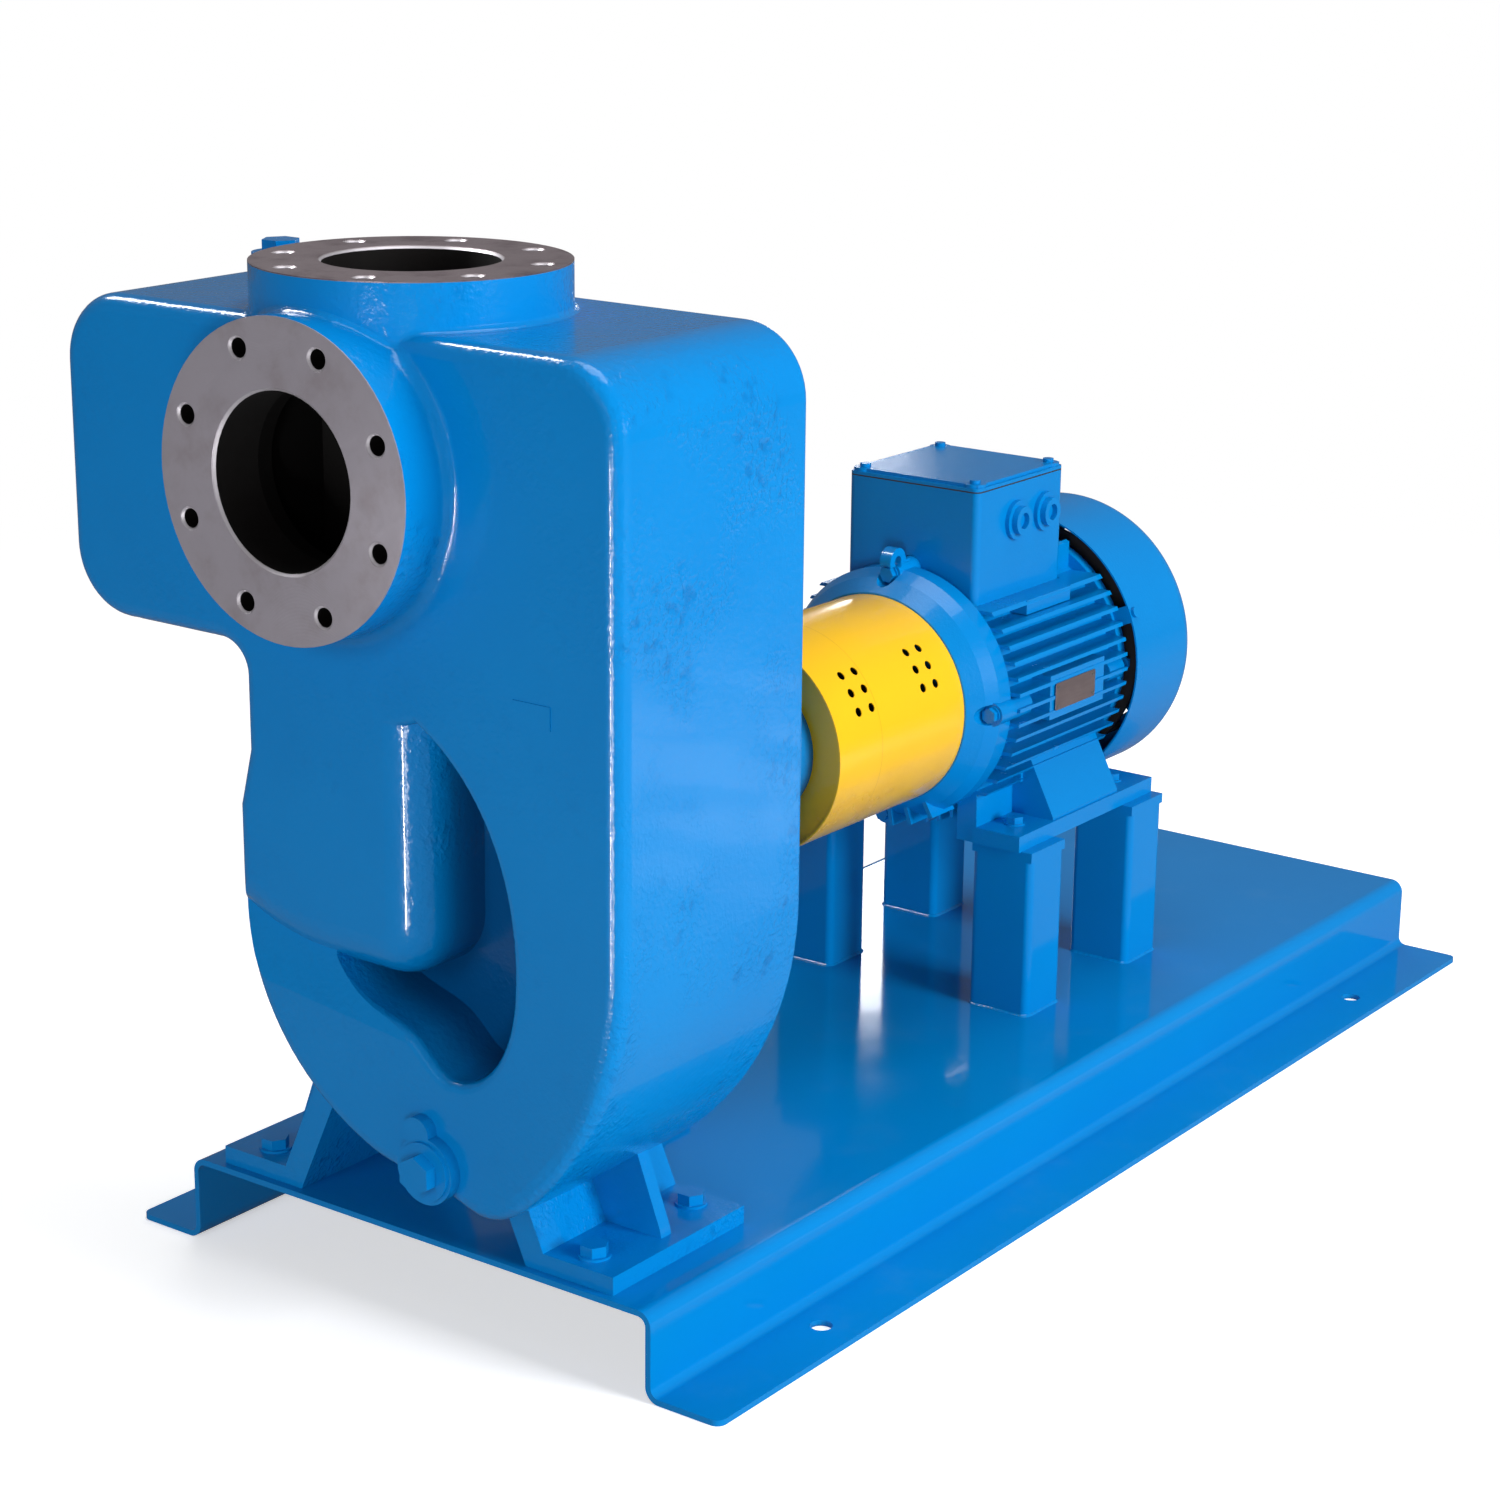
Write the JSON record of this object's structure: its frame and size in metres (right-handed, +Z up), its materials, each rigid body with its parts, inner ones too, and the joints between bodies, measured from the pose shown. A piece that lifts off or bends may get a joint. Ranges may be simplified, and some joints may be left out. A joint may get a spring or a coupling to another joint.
{
  "type": "self-priming pump set",
  "caption": "Self-priming centrifugal pump with flanged suction and discharge, coupled through a guarded jaw coupling to a foot-mounted motor on a folded steel base.",
  "frame": {"origin": "centre of the anchor-bolt pattern, on the floor under the base", "axes": "+Y along the shaft from the pump to the motor, +X to the right seen from the suction flange, +Z up"},
  "size_m": [0.732, 1.663, 1.001],
  "materials": {
    "blue_cast": "glossy blue paint over rough casting",
    "blue_sheet": "glossy blue paint over folded sheet",
    "blue_motor": "glossy blue paint over machined and cast parts",
    "yellow_guard": "glossy yellow paint",
    "plated_steel": "zinc plated",
    "shaft_steel": "ground",
    "bearing_steel": "polished",
    "grey_iron": "bare casting",
    "seal_ceramic": "lapped",
    "black_rubber": "matt",
    "red_rubber": "matt",
    "core_steel": "laminated",
    "copper_winding": "varnished",
    "black_plastic": "moulded",
    "board_plastic": "moulded",
    "brass": "turned",
    "sight_glass": "clear"
  },
  "bodies": {
    "housing": {"base_frame": "blue_sheet", "pump_casing": "blue_cast", "casing_foot_bolts": "blue_motor", "drain_plug": "blue_motor", "filler_plug": "blue_motor", "wear_plate": "grey_iron", "casing_cover": "blue_cast", "cover_bolts": "blue_motor", "seal_gland": "shaft_steel", "seal_gland_bolts": "plated_steel", "seal_seat": "seal_ceramic", "pump_bearing_outer": "bearing_steel", "pump_bearing_balls": "bearing_steel", "bearing_bracket": "blue_cast", "bearing_cap": "blue_cast", "cap_bolts": "plated_steel", "lip_seals": "black_rubber", "oil_filler_plug": "blue_motor", "oil_level_glass": "sight_glass", "bracket_support": "blue_cast", "support_bolts": "blue_motor", "guard_front_shell": "yellow_guard", "guard_rear_shell": "yellow_guard", "guard_end_plate": "yellow_guard", "motor_frame": "blue_motor", "drive_end_shield": "blue_motor", "rear_end_shield": "blue_motor", "end_shield_bolts": "blue_motor", "motor_bearing_outer": "bearing_steel", "motor_bearing_balls": "bearing_steel", "stator_core": "core_steel", "stator_windings": "copper_winding", "fan_cover": "blue_motor", "fan_cover_screws": "blue_motor", "terminal_box_base": "blue_motor", "terminal_box": "blue_motor", "terminal_box_gasket": "black_rubber", "terminal_box_lid": "blue_motor", "terminal_box_screws": "blue_motor", "terminal_board": "board_plastic", "terminal_studs": "brass", "cable_entry_plugs": "blue_motor", "motor_posts": "blue_sheet", "motor_pads": "blue_sheet", "motor_foot_bolts": "blue_motor"},
    "motor_rotor": {"motor_shaft": "shaft_steel", "rotor_core": "core_steel", "motor_fan": "black_plastic", "motor_bearing_inner": "bearing_steel", "motor_coupling_hub": "grey_iron", "motor_key": "shaft_steel"},
    "pump_rotor": {"pump_shaft": "shaft_steel", "impeller": "grey_iron", "impeller_nut": "shaft_steel", "shaft_sleeve": "shaft_steel", "seal_ring": "shaft_steel", "pump_bearing_inner": "bearing_steel", "pump_coupling_hub": "grey_iron", "pump_key": "shaft_steel", "coupling_spider": "red_rubber"}
  },
  "joints": [
    {"name": "motor_spin", "type": "hinge", "parent": "housing", "child": "motor_rotor", "pos_m": [-0.007, 0, 0.439], "axis": [0, 1, 0], "continuous": true},
    {"name": "pump_spin", "type": "hinge", "parent": "housing", "child": "pump_rotor", "pos_m": [-0.007, -0.4, 0.439], "axis": [0, 1, 0], "continuous": true}
  ],
  "couplings": [
    {"joint": "pump_spin", "follows": "motor_spin", "ratio": 1}
  ]
}
